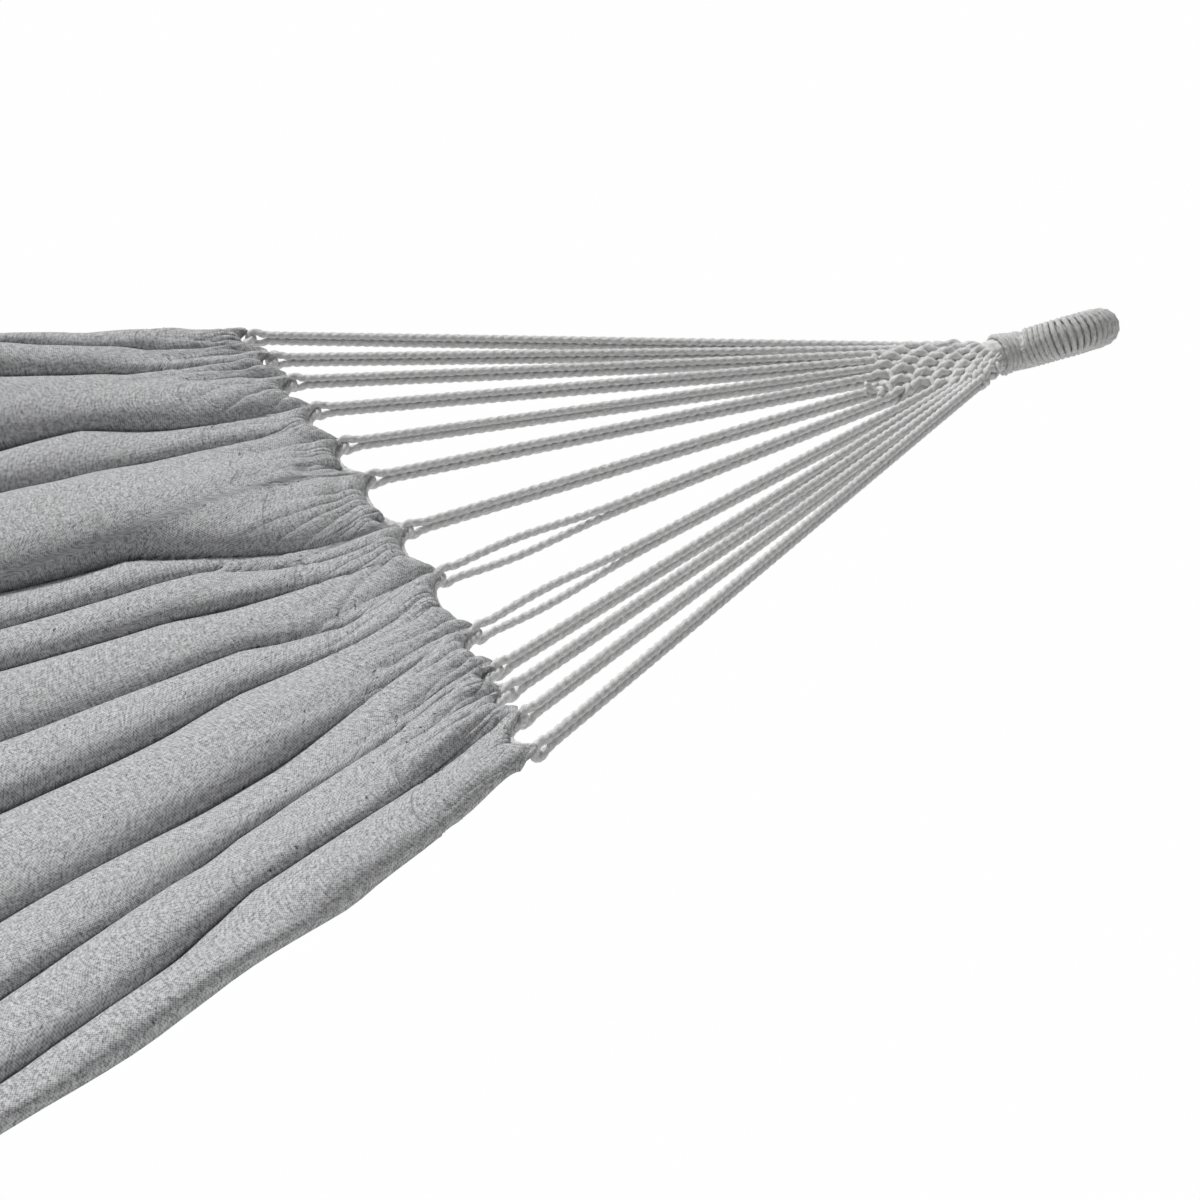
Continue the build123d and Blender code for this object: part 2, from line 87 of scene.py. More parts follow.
# Stage
FLOOR_Z = -1.1
SKY_LIGHT, SUN_LIGHT, SUN_ANGLE = 0.34, 2.85, np.radians(18)
SUN_SIDE = np.array([-0.25, 0.60, 0.80])  # from the part towards the sun
LENS, SENSOR = 66.26, 36.0  # millimetres
CAMERA_TURN, CAMERA_RISE = np.radians(-22.59), np.radians(30.61)
CAMERA_PLACE = (-0.9620, -1.3323, 0.7036)


def linear(code):
    """Linear colour of an sRGB hex code such as 'a8a8a8'."""
    srgb = np.array([int(code[k : k + 2], 16) for k in (0, 2, 4)]) / 255
    return tuple(np.where(srgb <= 0.04045, srgb / 12.92, ((srgb + 0.055) / 1.055) ** 2.4))


class HammockSizes(bpy.types.PropertyGroup):
    """Sizes of the hammock's cloth and cords."""

    fold_scale: FloatProperty(name="Fold height", description="Height of the lengthwise folds, as a share of the drawn ones", default=1.4, min=0.2, max=1.6)
    pucker: FloatProperty(name="Hem pucker", description="Height of the gathers beside the hem", default=0.0022, unit="LENGTH")
    cloth: FloatProperty(name="Cloth thickness", description="Thickness of the single canvas", default=0.0022, unit="LENGTH")
    thread: FloatProperty(name="Thread spacing", description="Spacing of the canvas threads as drawn", default=0.0016, unit="LENGTH")
    rope: FloatProperty(name="Clew cord", description="Diameter of the clew cords", default=0.0064, unit="LENGTH")
    header: FloatProperty(name="Header cord", description="Diameter of the cord in the hem tunnels", default=0.0068, unit="LENGTH")
    lay: FloatProperty(name="Rope lay", description="Length in which a strand goes once round its rope", default=0.024, unit="LENGTH")
    weft: FloatProperty(name="Weaving cord", description="Diameter of the cord woven across the harness", default=0.0046, unit="LENGTH")
    whip: FloatProperty(name="Whipping cord", description="Diameter of the cord wound round the eyes", default=0.0049, unit="LENGTH")
    eye_turns: IntProperty(name="Eye turns", description="Turns of whipping round an eye", default=44, min=10, max=60)
    neck_turns: IntProperty(name="Neck turns", description="Turns of whipping round a neck", default=5, min=3, max=10)


class HammockColours(bpy.types.PropertyGroup):
    """Colours of the hammock's yarns and of the stage."""

    canvas_light: FloatVectorProperty(name="Canvas light", description="Light yarns of the canvas", subtype="COLOR", default=linear("cdcdce"))
    canvas_dark: FloatVectorProperty(name="Canvas dark", description="Dark yarns of the canvas", subtype="COLOR", default=linear("7a7b7d"))
    fleck: FloatVectorProperty(name="Fleck", description="Dark flecks spun into the yarn", subtype="COLOR", default=linear("4c4d50"))
    rope_light: FloatVectorProperty(name="Cord light", description="Light fibres of the cords", subtype="COLOR", default=linear("f4f4f3"))
    rope_dark: FloatVectorProperty(name="Cord dark", description="Dark fibres of the cords", subtype="COLOR", default=linear("c6c6c6"))
    whip_light: FloatVectorProperty(name="Whipping light", description="Light fibres of the whipping cord", subtype="COLOR", default=linear("ececeb"))
    whip_dark: FloatVectorProperty(name="Whipping dark", description="Dark fibres of the whipping cord", subtype="COLOR", default=linear("b2b2b1"))
    floor: FloatVectorProperty(name="Floor", description="Plain floor", subtype="COLOR", default=linear("f4f4f4"))


def smooth(x, low, high):
    """Rises from 0 at low to 1 at high, level at both ends."""
    x = np.clip((x - low) / (high - low), 0, 1)
    return x * x * (3 - 2 * x)


def ease(s):
    """Quarter wave of a parabola: 0 at the hem, 1 at mid length."""
    return 1 - (1 - np.clip(s, 0, 1)) ** 2


def unit(v):
    """Vectors of length 1."""
    return v / np.maximum(np.linalg.norm(v, axis=-1, keepdims=True), 1e-12)


def noise(u, v, seed):
    """Smooth random heights from -1 to 1, one per unit step of u and v, eased between the steps."""
    table = np.random.default_rng(seed).uniform(-1, 1, (256, 256))
    i, j = np.floor(u).astype(int), np.floor(v).astype(int)
    a, b = u - i, v - j
    a, b = a * a * (3 - 2 * a), b * b * (3 - 2 * b)
    low = table[i % 256, j % 256] * (1 - a) + table[(i + 1) % 256, j % 256] * a
    high = table[i % 256, (j + 1) % 256] * (1 - a) + table[(i + 1) % 256, (j + 1) % 256] * a
    return low * (1 - b) + high * b


def bed_point(s, across):
    """Bed's smooth surface: a parabola across, whose half width, sag and edge height ease towards mid length."""
    half = HEM_HALF + (MIDDLE_HALF - HEM_HALF) * ease(s)
    dip = HEM_SAG + (TROUGH - HEM_SAG) * ease(s)
    z = -HEM_DROP - EDGE_SAG * ease(s) - dip * (1 - across**2)
    return np.stack([-CLEW_REACH - s * HALF_BED + 0 * across, half * across, z + 0 * across], -1)


NOTCH_POINTS = bed_point(0 * NOTCHES, NOTCHES) + np.stack([HEM_BOW * (1 - NOTCHES**2), 0 * NOTCHES, 0 * NOTCHES], -1)


def hem_edge(across):
    """X of the cloth's edge: straight between the notches, drawn out beside each and cut back in it."""
    chord = np.interp(across, NOTCHES[::-1], NOTCH_POINTS[::-1, 0]) - NOTCH_DEPTH
    place = np.interp(across, NOTCHES[::-1], np.arange(PAIRS)[::-1])
    span = place % 1
    gap = np.abs(across[..., None] - NOTCHES).min(-1) * HEM_HALF
    finger = smooth(gap, 0.0015, 0.0055)
    drawn = 0.0205 - 0.0215 * np.sin(np.pi * span) ** 0.75
    for k in BARE_NOTCHES:
        beside = (across - NOTCHES[k]) * HEM_HALF
        drawn = drawn - 0.016 * smooth(beside, 0.0, 0.004) * smooth(-beside, -0.022, -0.010)
    return chord + 0.011 * (1 - finger) + drawn * finger, span


def crease_line(s, places, shares):
    """Place of a crease across the bed: straight between the given places, and easing to level at mid length."""
    last = places[-2]
    level = np.where(s > last, last + (1 - last) * ease((s - last) / (1 - last)), s)
    return np.interp(level, places, shares)


def bed_surface(across, back, sizes):
    """Folded bed, its normals and distances from the hem, for places across and shares of the way to mid length.

    Between two creases the cloth rises as (4v(1 - v))^0.6, with v = u^1.25 of the way across the fold, so that the
    crest leans to the near side; gathers of |sin| form, 5.5 and 17 mm apart, die away from the hem exponentially.
    """
    edge, span = hem_edge(across)
    x = edge + (MIDDLE_X - edge) * back
    s = (-CLEW_REACH - x) / HALF_BED
    distance = edge - x
    point = bed_point(s, across)
    half = HEM_HALF + (MIDDLE_HALF - HEM_HALF) * ease(s)
    lines = [np.full_like(s, 1.0001)] + [crease_line(s, *crease) for crease in CREASES] + [np.full_like(s, -1.0001)]
    lines = np.stack(lines, -1)
    fold = np.clip((across[..., None] < lines).sum(-1) - 1, 0, len(CREASES))
    far = np.take_along_axis(lines, fold[..., None], -1)[..., 0]
    near = np.take_along_axis(lines, fold[..., None] + 1, -1)[..., 0]
    u = np.clip((far - across) / (far - near), 0, 1)
    width = (far - near) * half
    v = u**1.25
    crest = (4 * v * (1 - v)) ** 0.6
    height = np.interp(s, FOLD_PLACES, FOLD_HEIGHTS) * np.clip((width / 0.10) ** 0.7, 0.35, 1.35) * sizes.fold_scale
    height = height * (1 + 0.18 * noise(s * 7, fold * 3.7, 3))
    lift = height * crest
    lean = -height * crest * (0.22 + 0.78 * u)
    clear = smooth(distance, 0.004, 0.040)
    flat = across * half
    waves = 0.0030 * noise(flat / 0.034, s / 0.20, 5) + 0.0010 * noise(flat / 0.012, s / 0.07, 7)
    mound = 0.0125 * np.sin(np.pi * span) ** 0.6 * np.exp(-distance / 0.055) * smooth(distance, 0.0, 0.02)
    drawn_in = across + 0.020 * np.sin(2 * np.pi * span) * np.exp(-distance / 0.030)
    run = drawn_in * HEM_HALF + 0.003 * noise(across * 12, s / 0.03, 11)
    fine = np.abs(np.sin(np.pi * run / 0.0055 + 2.5 * noise(across * 16, s / 0.03, 13))) ** 0.7
    broad = np.abs(np.sin(np.pi * run / 0.0170 + 2.6 * noise(across * 9, s / 0.08, 17))) ** 0.55
    gathered = smooth(noise(across * 13, s / 0.05, 19), -0.35, 0.45)
    fine = 1.2 * sizes.pucker * (0.12 + 0.8 * gathered) * np.exp(-distance / 0.024) * fine
    broad = 2.7 * sizes.pucker * (0.75 + 0.6 * noise(across * 11, s / 0.09, 23)) * np.exp(-distance / 0.055) * broad
    seam = np.exp(-(((distance - 0.0618) / 0.002) ** 2)) + np.exp(-(((distance - 0.0748) / 0.002) ** 2))
    point[..., 1] += lean * clear - 0.5 * mound
    point[..., 2] += (lift + waves) * clear + mound + fine + broad - 0.0006 * seam
    normal = unit(np.cross(np.gradient(point, axis=0), np.gradient(point, axis=1)))
    return point, normal, distance


def flip_x(points):
    """Mirror image about mid length."""
    return np.stack([2 * MIDDLE_X - points[..., 0], points[..., 1], points[..., 2]], -1)


def grid_faces(rows, columns, closed=False):
    """Corner numbers of the faces of a grid, and the row and column of each."""
    i, j = np.meshgrid(np.arange(rows - 1), np.arange(columns if closed else columns - 1), indexing="ij")
    after = (j + 1) % columns
    quads = np.stack([i * columns + j, (i + 1) * columns + j, (i + 1) * columns + after, i * columns + after], -1)
    return quads.reshape(-1, 4), i.ravel(), j.ravel()


def put_mesh(name, parts, material, mirrored=False):
    """One object from parts of (points, faces, UVs per corner), all faces with four corners or three."""
    points = np.concatenate([p for p, _, _ in parts])
    starts = np.cumsum([0] + [len(p) for p, _, _ in parts[:-1]])
    faces, uvs = [], []
    for (_, groups, corners), start in zip(parts, starts):
        for quads, uv in zip(groups, corners):
            if mirrored:
                quads, uv = quads[:, ::-1], uv[:, ::-1]
            faces += (quads + start).tolist()
            uvs.append(uv.reshape(-1, 2))
    if mirrored:
        points = flip_x(points)
    mesh = bpy.data.meshes.new(name)
    mesh.from_pydata(points.tolist(), [], faces)
    layer = mesh.uv_layers.new(name="flat")
    layer.data.foreach_set("uv", np.concatenate(uvs).astype(np.float32).ravel())
    mesh.polygons.foreach_set("use_smooth", np.ones(len(mesh.polygons), bool))
    mesh.update()
    made = bpy.data.objects.new(name, mesh)
    bpy.context.scene.collection.objects.link(made)
    mesh.materials.append(material)
    return made


def shell(top, bottom, uv):
    """Closed sheet between two grids of points, its four sides joined."""
    rows, columns = top.shape[:2]
    count = rows * columns
    quads, _, _ = grid_faces(rows, columns)
    number = np.arange(count).reshape(rows, columns)
    around = np.concatenate([number[0, ::-1], number[1:, 0], number[-1, 1:], number[-2:0:-1, -1]])
    on = np.roll(around, -1)
    sides = np.stack([around, around + count, on + count, on], -1)
    faces = np.concatenate([quads, quads[:, ::-1] + count, sides[:, ::-1]])
    flat = np.concatenate([uv.reshape(-1, 2)] * 2)
    return np.concatenate([top.reshape(-1, 3), bottom.reshape(-1, 3)]), [faces], [flat[faces]]


def resample(path, step):
    """Points an even step apart along a line of points, and their distances along it."""
    length = np.concatenate([[0], np.cumsum(np.linalg.norm(np.diff(path, axis=0), axis=1))])
    places = np.linspace(0, length[-1], max(4, int(round(length[-1] / step)) + 1))
    return np.stack([np.interp(places, length, path[:, k]) for k in range(3)], -1), places, length


def spline(corners, steps=24):
    """Quadratic B-spline of a row of corners, from the first corner to the last."""
    corners = np.concatenate([[2 * corners[0] - corners[1]], corners, [2 * corners[-1] - corners[-2]]])
    a, b, c = corners[:-2, None], corners[1:-1, None], corners[2:, None]
    w = np.linspace(0, 1, steps, endpoint=False)[None, :, None]
    points = 0.5 * (a * (1 - w) ** 2 + b * (1 + 2 * w * (1 - w)) + c * w**2)
    return points.reshape(-1, 3)[steps // 2 : -(steps // 2)]


def tube(path, guide, radius, places, sides):
    """Tube of rings round a path; radius is a function of the angle and the place, and gives whole arrays."""
    along = unit(np.gradient(path, axis=0))
    out = unit(guide - along * (guide * along).sum(-1, keepdims=True))
    beside = np.cross(along, out)
    angle = np.linspace(0, 2 * np.pi, sides, endpoint=False)
    wide = radius(angle[None, :], places[:, None])[..., None]
    cos, sin = np.cos(angle)[None, :, None], np.sin(angle)[None, :, None]
    rings = path[:, None] + wide * (cos * out[:, None] + sin * beside[:, None])
    rows = len(path)
    quads, i, j = grid_faces(rows, sides, closed=True)
    quads = quads[:, ::-1]
    share = j / sides
    uv = np.stack([
        np.stack([share + 1 / sides, places[i]], -1), np.stack([share + 1 / sides, places[i + 1]], -1),
        np.stack([share, places[i + 1]], -1), np.stack([share, places[i]], -1)], 1)
    points = np.concatenate([rings.reshape(-1, 3), path[:1], path[-1:]])
    near, last = np.arange(sides), rows * sides
    first_cap = np.stack([np.full(sides, last), (near + 1) % sides, near], -1)
    last_cap = np.stack([np.full(sides, last + 1), last - sides + near, last - sides + (near + 1) % sides], -1)
    caps = np.concatenate([first_cap, last_cap])
    return points, [quads, caps], [uv, np.zeros((len(caps), 3, 2))]


def rope(path, guide, diameter, lay, sides=15, rings=11, scale=None):
    """Three-strand rope: round each third of a turn it is one circle's outline, and the thirds turn once in a lay."""
    path, places, length = resample(path, lay / rings)
    if guide.ndim == 2:
        guide = np.stack([np.interp(places, np.linspace(0, places[-1], len(guide)), guide[:, k]) for k in range(3)], -1)
    else:
        guide = np.broadcast_to(guide, path.shape)
    wide = np.ones(len(places)) if scale is None else np.interp(places, length, scale)
    centre, strand = 0.46 * diameter / 2, 0.54 * diameter / 2

    def radius(angle, place):
        turn = (angle + 2 * np.pi * place / lay + np.pi / 3) % (2 * np.pi / 3) - np.pi / 3
        return (centre * np.cos(turn) + np.sqrt(strand**2 - (centre * np.sin(turn)) ** 2)) * wide[:, None]

    return tube(path, guide, radius, places, sides)


def throat_targets():
    """Where the middle of each pair meets the throat."""
    return THROAT + np.stack([0 * NOTCHES, THROAT_R * (1 - 2 * np.arange(PAIRS) / (PAIRS - 1)), 0 * NOTCHES], -1)


def pair_directions():
    """Unit vectors from the hem to the throat along the pairs."""
    return unit(throat_targets() - NOTCH_POINTS)


def header_route():
    """Corners of the header cord: at each notch a bight between the mouths of two hem tunnels."""
    chord = np.diff(NOTCH_POINTS, axis=0)
    along = unit(chord)
    back = np.array([-NOTCH_DEPTH, 0, 0])
    starts = NOTCH_POINTS[:-1] + along * NOTCH_GAP / 2 + back
    ends = NOTCH_POINTS[1:] - along * NOTCH_GAP / 2 + back
    hook = NOTCH_POINTS + pair_directions() * HEADER_REACH
    tail = np.array([[-0.020, -0.008, -0.005]])
    before = np.concatenate([hook[:1] + tail, ends])
    after = np.concatenate([starts, hook[-1:] + tail * [1, -1, 1]])
    return np.stack([before, hook, after], 1).reshape(-1, 3)


def header_hubs():
    """Tip of each bight of the header cord's spline: six eighths of its corner and one of each neighbour."""
    route = header_route().reshape(PAIRS, 3, 3)
    return (route[:, 0] + 6 * route[:, 1] + route[:, 2]) / 8


def clew_path(j, sizes):
    """Line of a doubled cord: the throat, the weave, the hem, half a turn round the header cord, and back.

    In the weave both cords rise and fall together as a cosine with one half wave for each row.
    """
    hub = header_hubs()[j] + np.array([0.0005, 0, 0])
    target = throat_targets()[j]
    length = np.linalg.norm(target - hub)
    along = (target - hub) / length
    up = unit(np.array([0, 0, 1]) - along * along[2])
    q = np.concatenate([np.linspace(length, 0.16, 420), np.linspace(0.16, 0, 160)[1:]])
    reach = (length - q) * along[0]
    bight = sizes.header / 2 + sizes.rope / 2 * 0.62
    apart = sizes.rope * 0.455
    opened = OPEN_PAIRS.get(j, 0) * np.exp(-(((q - 0.055) / 0.050) ** 2))
    apart = apart + (bight - apart) * np.exp(-((q / 0.0065) ** 2)) + opened
    bundle = 0.62 * np.sqrt(np.maximum(THROAT_R**2 - (target[1] * 0.98) ** 2, 0))
    apart = bundle + (apart - bundle) * smooth(reach, 0, 0.022)
    woven = smooth(WOVEN_TO[j] - reach, -0.004, 0.008) * smooth(reach, 0.002, 0.012)
    wave = 0.0024 * np.cos(np.pi * reach / WEFT_PITCH + np.pi * j) * woven
    middle = hub + along * q[:, None]
    top = middle + up * (apart + 0.0006 * woven + wave)[:, None]
    bottom = middle - up * (apart + 0.0006 * woven - wave)[:, None]
    turn = np.linspace(np.pi / 2, 3 * np.pi / 2, 24)[1:-1, None]
    loop = hub + bight * (np.cos(turn) * along + np.sin(turn) * up)
    scale = 1 + 0.14 * woven - 0.34 * smooth(0.034 - reach, 0, 0.034)
    scale = np.concatenate([scale, np.ones(len(loop)), scale[::-1]])
    return np.concatenate([top, loop, bottom[::-1]]), np.cross(along, up), scale


def weft_path():
    """Line of the weaving cord, back and forth over and under the pairs, turning at the flanks."""
    targets, hubs = throat_targets(), header_hubs()
    corners = []
    for row in range(1, 10):
        reach = row * WEFT_PITCH
        columns = np.flatnonzero(WOVEN_TO > reach - 0.003)
        share = reach / (targets[columns, 0] - hubs[columns, 0])
        points = targets[columns] + (hubs[columns] - targets[columns]) * share[:, None]
        points[:, 2] -= 0.0076 * np.cos(np.pi * (row + columns))
        out = unit(points[0] - points[-1]) * 0.0050
        shift = np.array([-WEFT_PITCH * 0.32, 0, 0])
        points = np.concatenate([[points[0] + out], points, [points[-1] - out]])
        if row % 2:
            points = points[::-1]
        points[[0, -1], 2] = points[:, 2].mean()
        points[-1] += shift
        corners.append(points)
    return spline(np.concatenate(corners), 14)


def eye_axes():
    """Eye's own axes: along it, across its loop, and square to its loop."""
    x = np.array([np.cos(EYE_PITCH), 0, np.sin(EYE_PITCH)])
    flat = np.array([-np.sin(EYE_PITCH), 0, np.cos(EYE_PITCH)])
    z = flat * np.cos(EYE_ROLL) + np.cross(x, flat) * np.sin(EYE_ROLL)
    return x, np.cross(z, x), z


def eye_line(distance):
    """Centre line of the eye's bar and its outward normals: straight legs tangent to a round bend."""
    reach = BEND_X - NECK_X
    angle = np.arcsin(BEND_R / np.hypot(reach, LEG_SPREAD)) - np.arctan2(LEG_SPREAD, reach)
    leg = np.sqrt(np.hypot(reach, LEG_SPREAD) ** 2 - BEND_R**2)
    arc = BEND_R * (np.pi + 2 * angle)
    total = 2 * leg + arc
    d = distance * total
    turn = np.clip(np.pi / 2 + angle - (d - leg) / BEND_R, -np.pi / 2 - angle, np.pi / 2 + angle)
    x, y = BEND_X + BEND_R * np.cos(turn), BEND_R * np.sin(turn)
    first, last = np.minimum(d - leg, 0), np.maximum(d - leg - arc, 0)
    x = x + (first - last) * np.cos(angle)
    y = y + (first + last) * np.sin(angle)
    ax, ay, _ = eye_axes()
    point = x[:, None] * ax + y[:, None] * ay
    return point, np.cos(turn)[:, None] * ax + np.sin(turn)[:, None] * ay, total


def whipping(turns, start, end, bar):
    """Winding round the eye's bar: a circle carried along its centre line."""
    d = np.linspace(start, end, turns * 32)
    centre, out, _ = eye_line(d)
    side = eye_axes()[2]
    angle = 2 * np.pi * turns * (d - start) / (end - start)
    radial = np.cos(angle)[:, None] * out + np.sin(angle)[:, None] * side
    return centre + radial * bar, radial


def neck_winding(turns, proud):
    """Winding round the neck: an ellipse that eases to a circle near the throat, carried along the eye's axis."""
    x = np.linspace(NECK_X + 0.0055, NECK_WOUND_TO, turns * 32)
    share = smooth(NECK_X - x, 0, 0.019)
    wide = (CORE_R + LEG_SPREAD * 0.45) * (1 - share) + THROAT_R * share + proud
    thick = CORE_R * 1.02 * (1 - share) + THROAT_R * share + proud
    angle = -2 * np.pi * turns * np.linspace(0, 1, len(x))
    ax, ay, az = eye_axes()
    radial = (wide * np.cos(angle))[:, None] * ay + (thick * np.sin(angle))[:, None] * az
    return x[:, None] * ax + radial, unit(radial)


def knot_path(centre, size):
    """Trefoil knot: a third of (sin t + 2 sin 2t, cos t - 2 cos 2t, -1.3 sin 3t), times the size."""
    t = np.linspace(0, 2 * np.pi, 160)
    shape = np.stack([np.sin(t) + 2 * np.sin(2 * t), np.cos(t) - 2 * np.cos(2 * t), -1.3 * np.sin(3 * t)], -1) / 3
    return centre + shape * size, unit(shape + [0, 0, 0.01])


def add(tree, kind, inputs=None, **settings):
    """Adds one node; inputs gives a value or another node's output for each named or numbered socket."""
    made = tree.nodes.new(kind)
    for key, value in settings.items():
        setattr(made, key, value)
    for key, value in (inputs or {}).items():
        if isinstance(value, bpy.types.NodeSocket):
            tree.links.new(value, made.inputs[key])
        else:
            made.inputs[key].default_value = value
    return made


def new_material(name):
    """Empty node material and its tree."""
    material = bpy.data.materials.new(name)
    material.use_nodes = True
    material.node_tree.nodes.clear()
    return material, material.node_tree


def heathered_canvas(sizes, colours):
    """Plain-woven cotton canvas of heathered yarn: matt, with crossing streaks of light and dark yarn and dark neps."""
    material, tree = new_material("heathered_cotton_canvas")
    uv = add(tree, "ShaderNodeUVMap", uv_map="flat").outputs[0]
    # Thread spacing as drawn; the real one is about 0.8 mm, too fine to show
    scale = 2 * np.pi / (20 * sizes.thread)
    threads = {"Vector": uv, "Scale": scale, "Distortion": 0.6, "Detail Scale": 0.4}
    warp = add(tree, "ShaderNodeTexWave", threads, bands_direction="X")
    weft = add(tree, "ShaderNodeTexWave", threads, bands_direction="Y")
    warp = add(tree, "ShaderNodeMath", {0: warp.outputs[1], 1: 0.5}, operation="SUBTRACT")
    weft = add(tree, "ShaderNodeMath", {0: weft.outputs[1], 1: 0.5}, operation="SUBTRACT")
    weave = add(tree, "ShaderNodeMath", {0: warp.outputs[0], 1: weft.outputs[0]}, operation="MULTIPLY")
    # Streaks one thread wide: about 7 mm along the weft and 5 mm along the warp
    across = add(tree, "ShaderNodeMapping", {"Vector": uv, "Scale": (1 / 0.007, 1 / 0.0014, 1)})
    along = add(tree, "ShaderNodeMapping", {"Vector": uv, "Scale": (1 / 0.0014, 1 / 0.005, 1)})
    grain = add(tree, "ShaderNodeMapping", {"Vector": uv, "Scale": (1 / 0.0016, 1 / 0.0016, 1)})
    speck = add(tree, "ShaderNodeMapping", {"Vector": uv, "Scale": (1 / 0.005, 1 / 0.0028, 1)})
    streak_a = add(tree, "ShaderNodeTexNoise", {"Vector": across.outputs[0], "Scale": 1.0, "Detail": 2.0})
    streak_b = add(tree, "ShaderNodeTexNoise", {"Vector": along.outputs[0], "Scale": 1.0, "Detail": 2.0})
    grains = add(tree, "ShaderNodeTexNoise", {"Vector": grain.outputs[0], "Scale": 1.0, "Detail": 1.0})
    specks = add(tree, "ShaderNodeTexNoise", {"Vector": speck.outputs[0], "Scale": 1.0, "Detail": 2.0})
    tone = add(tree, "ShaderNodeMath", {0: streak_a.outputs[0], 1: streak_b.outputs[0]}, operation="ADD")
    tone = add(tree, "ShaderNodeMath", {0: tone.outputs[0], 1: grains.outputs[0]}, operation="ADD")
    tone = add(tree, "ShaderNodeMath", {0: weave.outputs[0], 1: 0.9, 2: tone.outputs[0]}, operation="MULTIPLY_ADD")
    tone = add(tree, "ShaderNodeMapRange", {"Value": tone.outputs[0], "From Min": 1.15, "From Max": 1.80})
    yarns = {0: tone.outputs[0], 6: (*colours.canvas_dark, 1), 7: (*colours.canvas_light, 1)}
    yarn = add(tree, "ShaderNodeMix", yarns, data_type="RGBA")
    nep = add(tree, "ShaderNodeMapRange", {"Value": specks.outputs[0], "From Min": 0.67, "From Max": 0.76})
    colour = add(tree, "ShaderNodeMix", {0: nep.outputs[0], 6: yarn.outputs[2], 7: (*colours.fleck, 1)}, data_type="RGBA")
    height = add(tree, "ShaderNodeMath", {0: grains.outputs[0], 1: 0.5, 2: weave.outputs[0]}, operation="MULTIPLY_ADD")
    bump = add(tree, "ShaderNodeBump", {"Height": height.outputs[0], "Strength": 0.7, "Distance": 0.0006})
    shader = add(tree, "ShaderNodeBsdfPrincipled", {"Base Color": colour.outputs[2], "Roughness": 0.95, "Specular IOR Level": 0.15,
                 "Sheen Weight": 0.08, "Sheen Roughness": 0.6, "Normal": bump.outputs[0]})
    add(tree, "ShaderNodeOutputMaterial", {0: shader.outputs[0]})
    return material


def cotton_cord(name, light, dark, yarn, sheen):
    """Laid cotton cord: matt soft yarns that run aslant round each strand, with paler and darker fibres and some fuzz."""
    material, tree = new_material(name)
    uv = add(tree, "ShaderNodeUVMap", uv_map="flat").outputs[0]
    # A yarn is about 1 mm across, and shows as a slanting stripe of the strand
    slant = add(tree, "ShaderNodeMapping", {"Vector": uv, "Rotation": (0, 0, 0.012)})
    stripes = {"Vector": slant.outputs[0], "Scale": 2 * np.pi / (20 * yarn), "Distortion": 1.5, "Detail": 1.0}
    lines = add(tree, "ShaderNodeTexWave", stripes, bands_direction="Y")
    fibre = add(tree, "ShaderNodeMapping", {"Vector": uv, "Scale": (9, 1 / 0.0035, 1)})
    fuzz = add(tree, "ShaderNodeMapping", {"Vector": uv, "Scale": (22, 1 / 0.0012, 1)})
    fibres = add(tree, "ShaderNodeTexNoise", {"Vector": fibre.outputs[0], "Scale": 1.0, "Detail": 3.0})
    fuzzy = add(tree, "ShaderNodeTexNoise", {"Vector": fuzz.outputs[0], "Scale": 1.0, "Detail": 2.0})
    tone = add(tree, "ShaderNodeMath", {0: fuzzy.outputs[0], 1: 0.6, 2: fibres.outputs[0]}, operation="MULTIPLY_ADD")
    tone = add(tree, "ShaderNodeMath", {0: lines.outputs[1], 1: 0.18, 2: tone.outputs[0]}, operation="MULTIPLY_ADD")
    tone = add(tree, "ShaderNodeMapRange", {"Value": tone.outputs[0], "From Min": 0.62, "From Max": 1.10})
    colour = add(tree, "ShaderNodeMix", {0: tone.outputs[0], 6: (*dark, 1), 7: (*light, 1)}, data_type="RGBA")
    height = add(tree, "ShaderNodeMath", {0: lines.outputs[1], 1: 0.5, 2: fuzzy.outputs[0]}, operation="MULTIPLY_ADD")
    bump = add(tree, "ShaderNodeBump", {"Height": height.outputs[0], "Strength": 0.8, "Distance": 0.0006})
    shader = add(tree, "ShaderNodeBsdfPrincipled", {"Base Color": colour.outputs[2], "Roughness": 0.92, "Specular IOR Level": 0.15,
                 "Sheen Weight": sheen, "Sheen Roughness": 0.5, "Normal": bump.outputs[0]})
    add(tree, "ShaderNodeOutputMaterial", {0: shader.outputs[0]})
    return material


def material_for(name, scene):
    """The named material, made on its first use."""
    if name in bpy.data.materials:
        return bpy.data.materials[name]
    if name == "heathered_cotton_canvas":
        return heathered_canvas(scene.hammock_sizes, scene.hammock_colours)
    colours = scene.hammock_colours
    if name == "cotton_whipping_cord":
        return cotton_cord(name, colours.whip_light, colours.whip_dark, 0.0010, 0.06)
    return cotton_cord(name, colours.rope_light, colours.rope_dark, 0.0012, 0.08)


def finish_piece(piece, body, slot, *nodes):
    """Hangs a piece on its body and lets it stand for its CAD nodes."""
    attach(piece, body)
    if nodes:
        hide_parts(*nodes)
    return piece


def both_ends(name, parts, material, body, slot, node=None):
    """The piece at each end, the left one a mirror image, in place of the CAD node that has the end in its name."""
    for end, mirrored in (("right", False), ("left", True)):
        piece = put_mesh(f"{name}_{end}", parts, material, mirrored)
        finish_piece(piece, body, slot, *([f"{node}_{end}"] if node else []))


def cloth_grid(across, back, sizes):
    """Middle surface of the cloth, its normals and its distance from the hem, on a grid of rows and columns."""
    across, back = (grid.copy() for grid in np.broadcast_arrays(across[None, :], back[:, None]))
    return bed_surface(across, back, sizes)


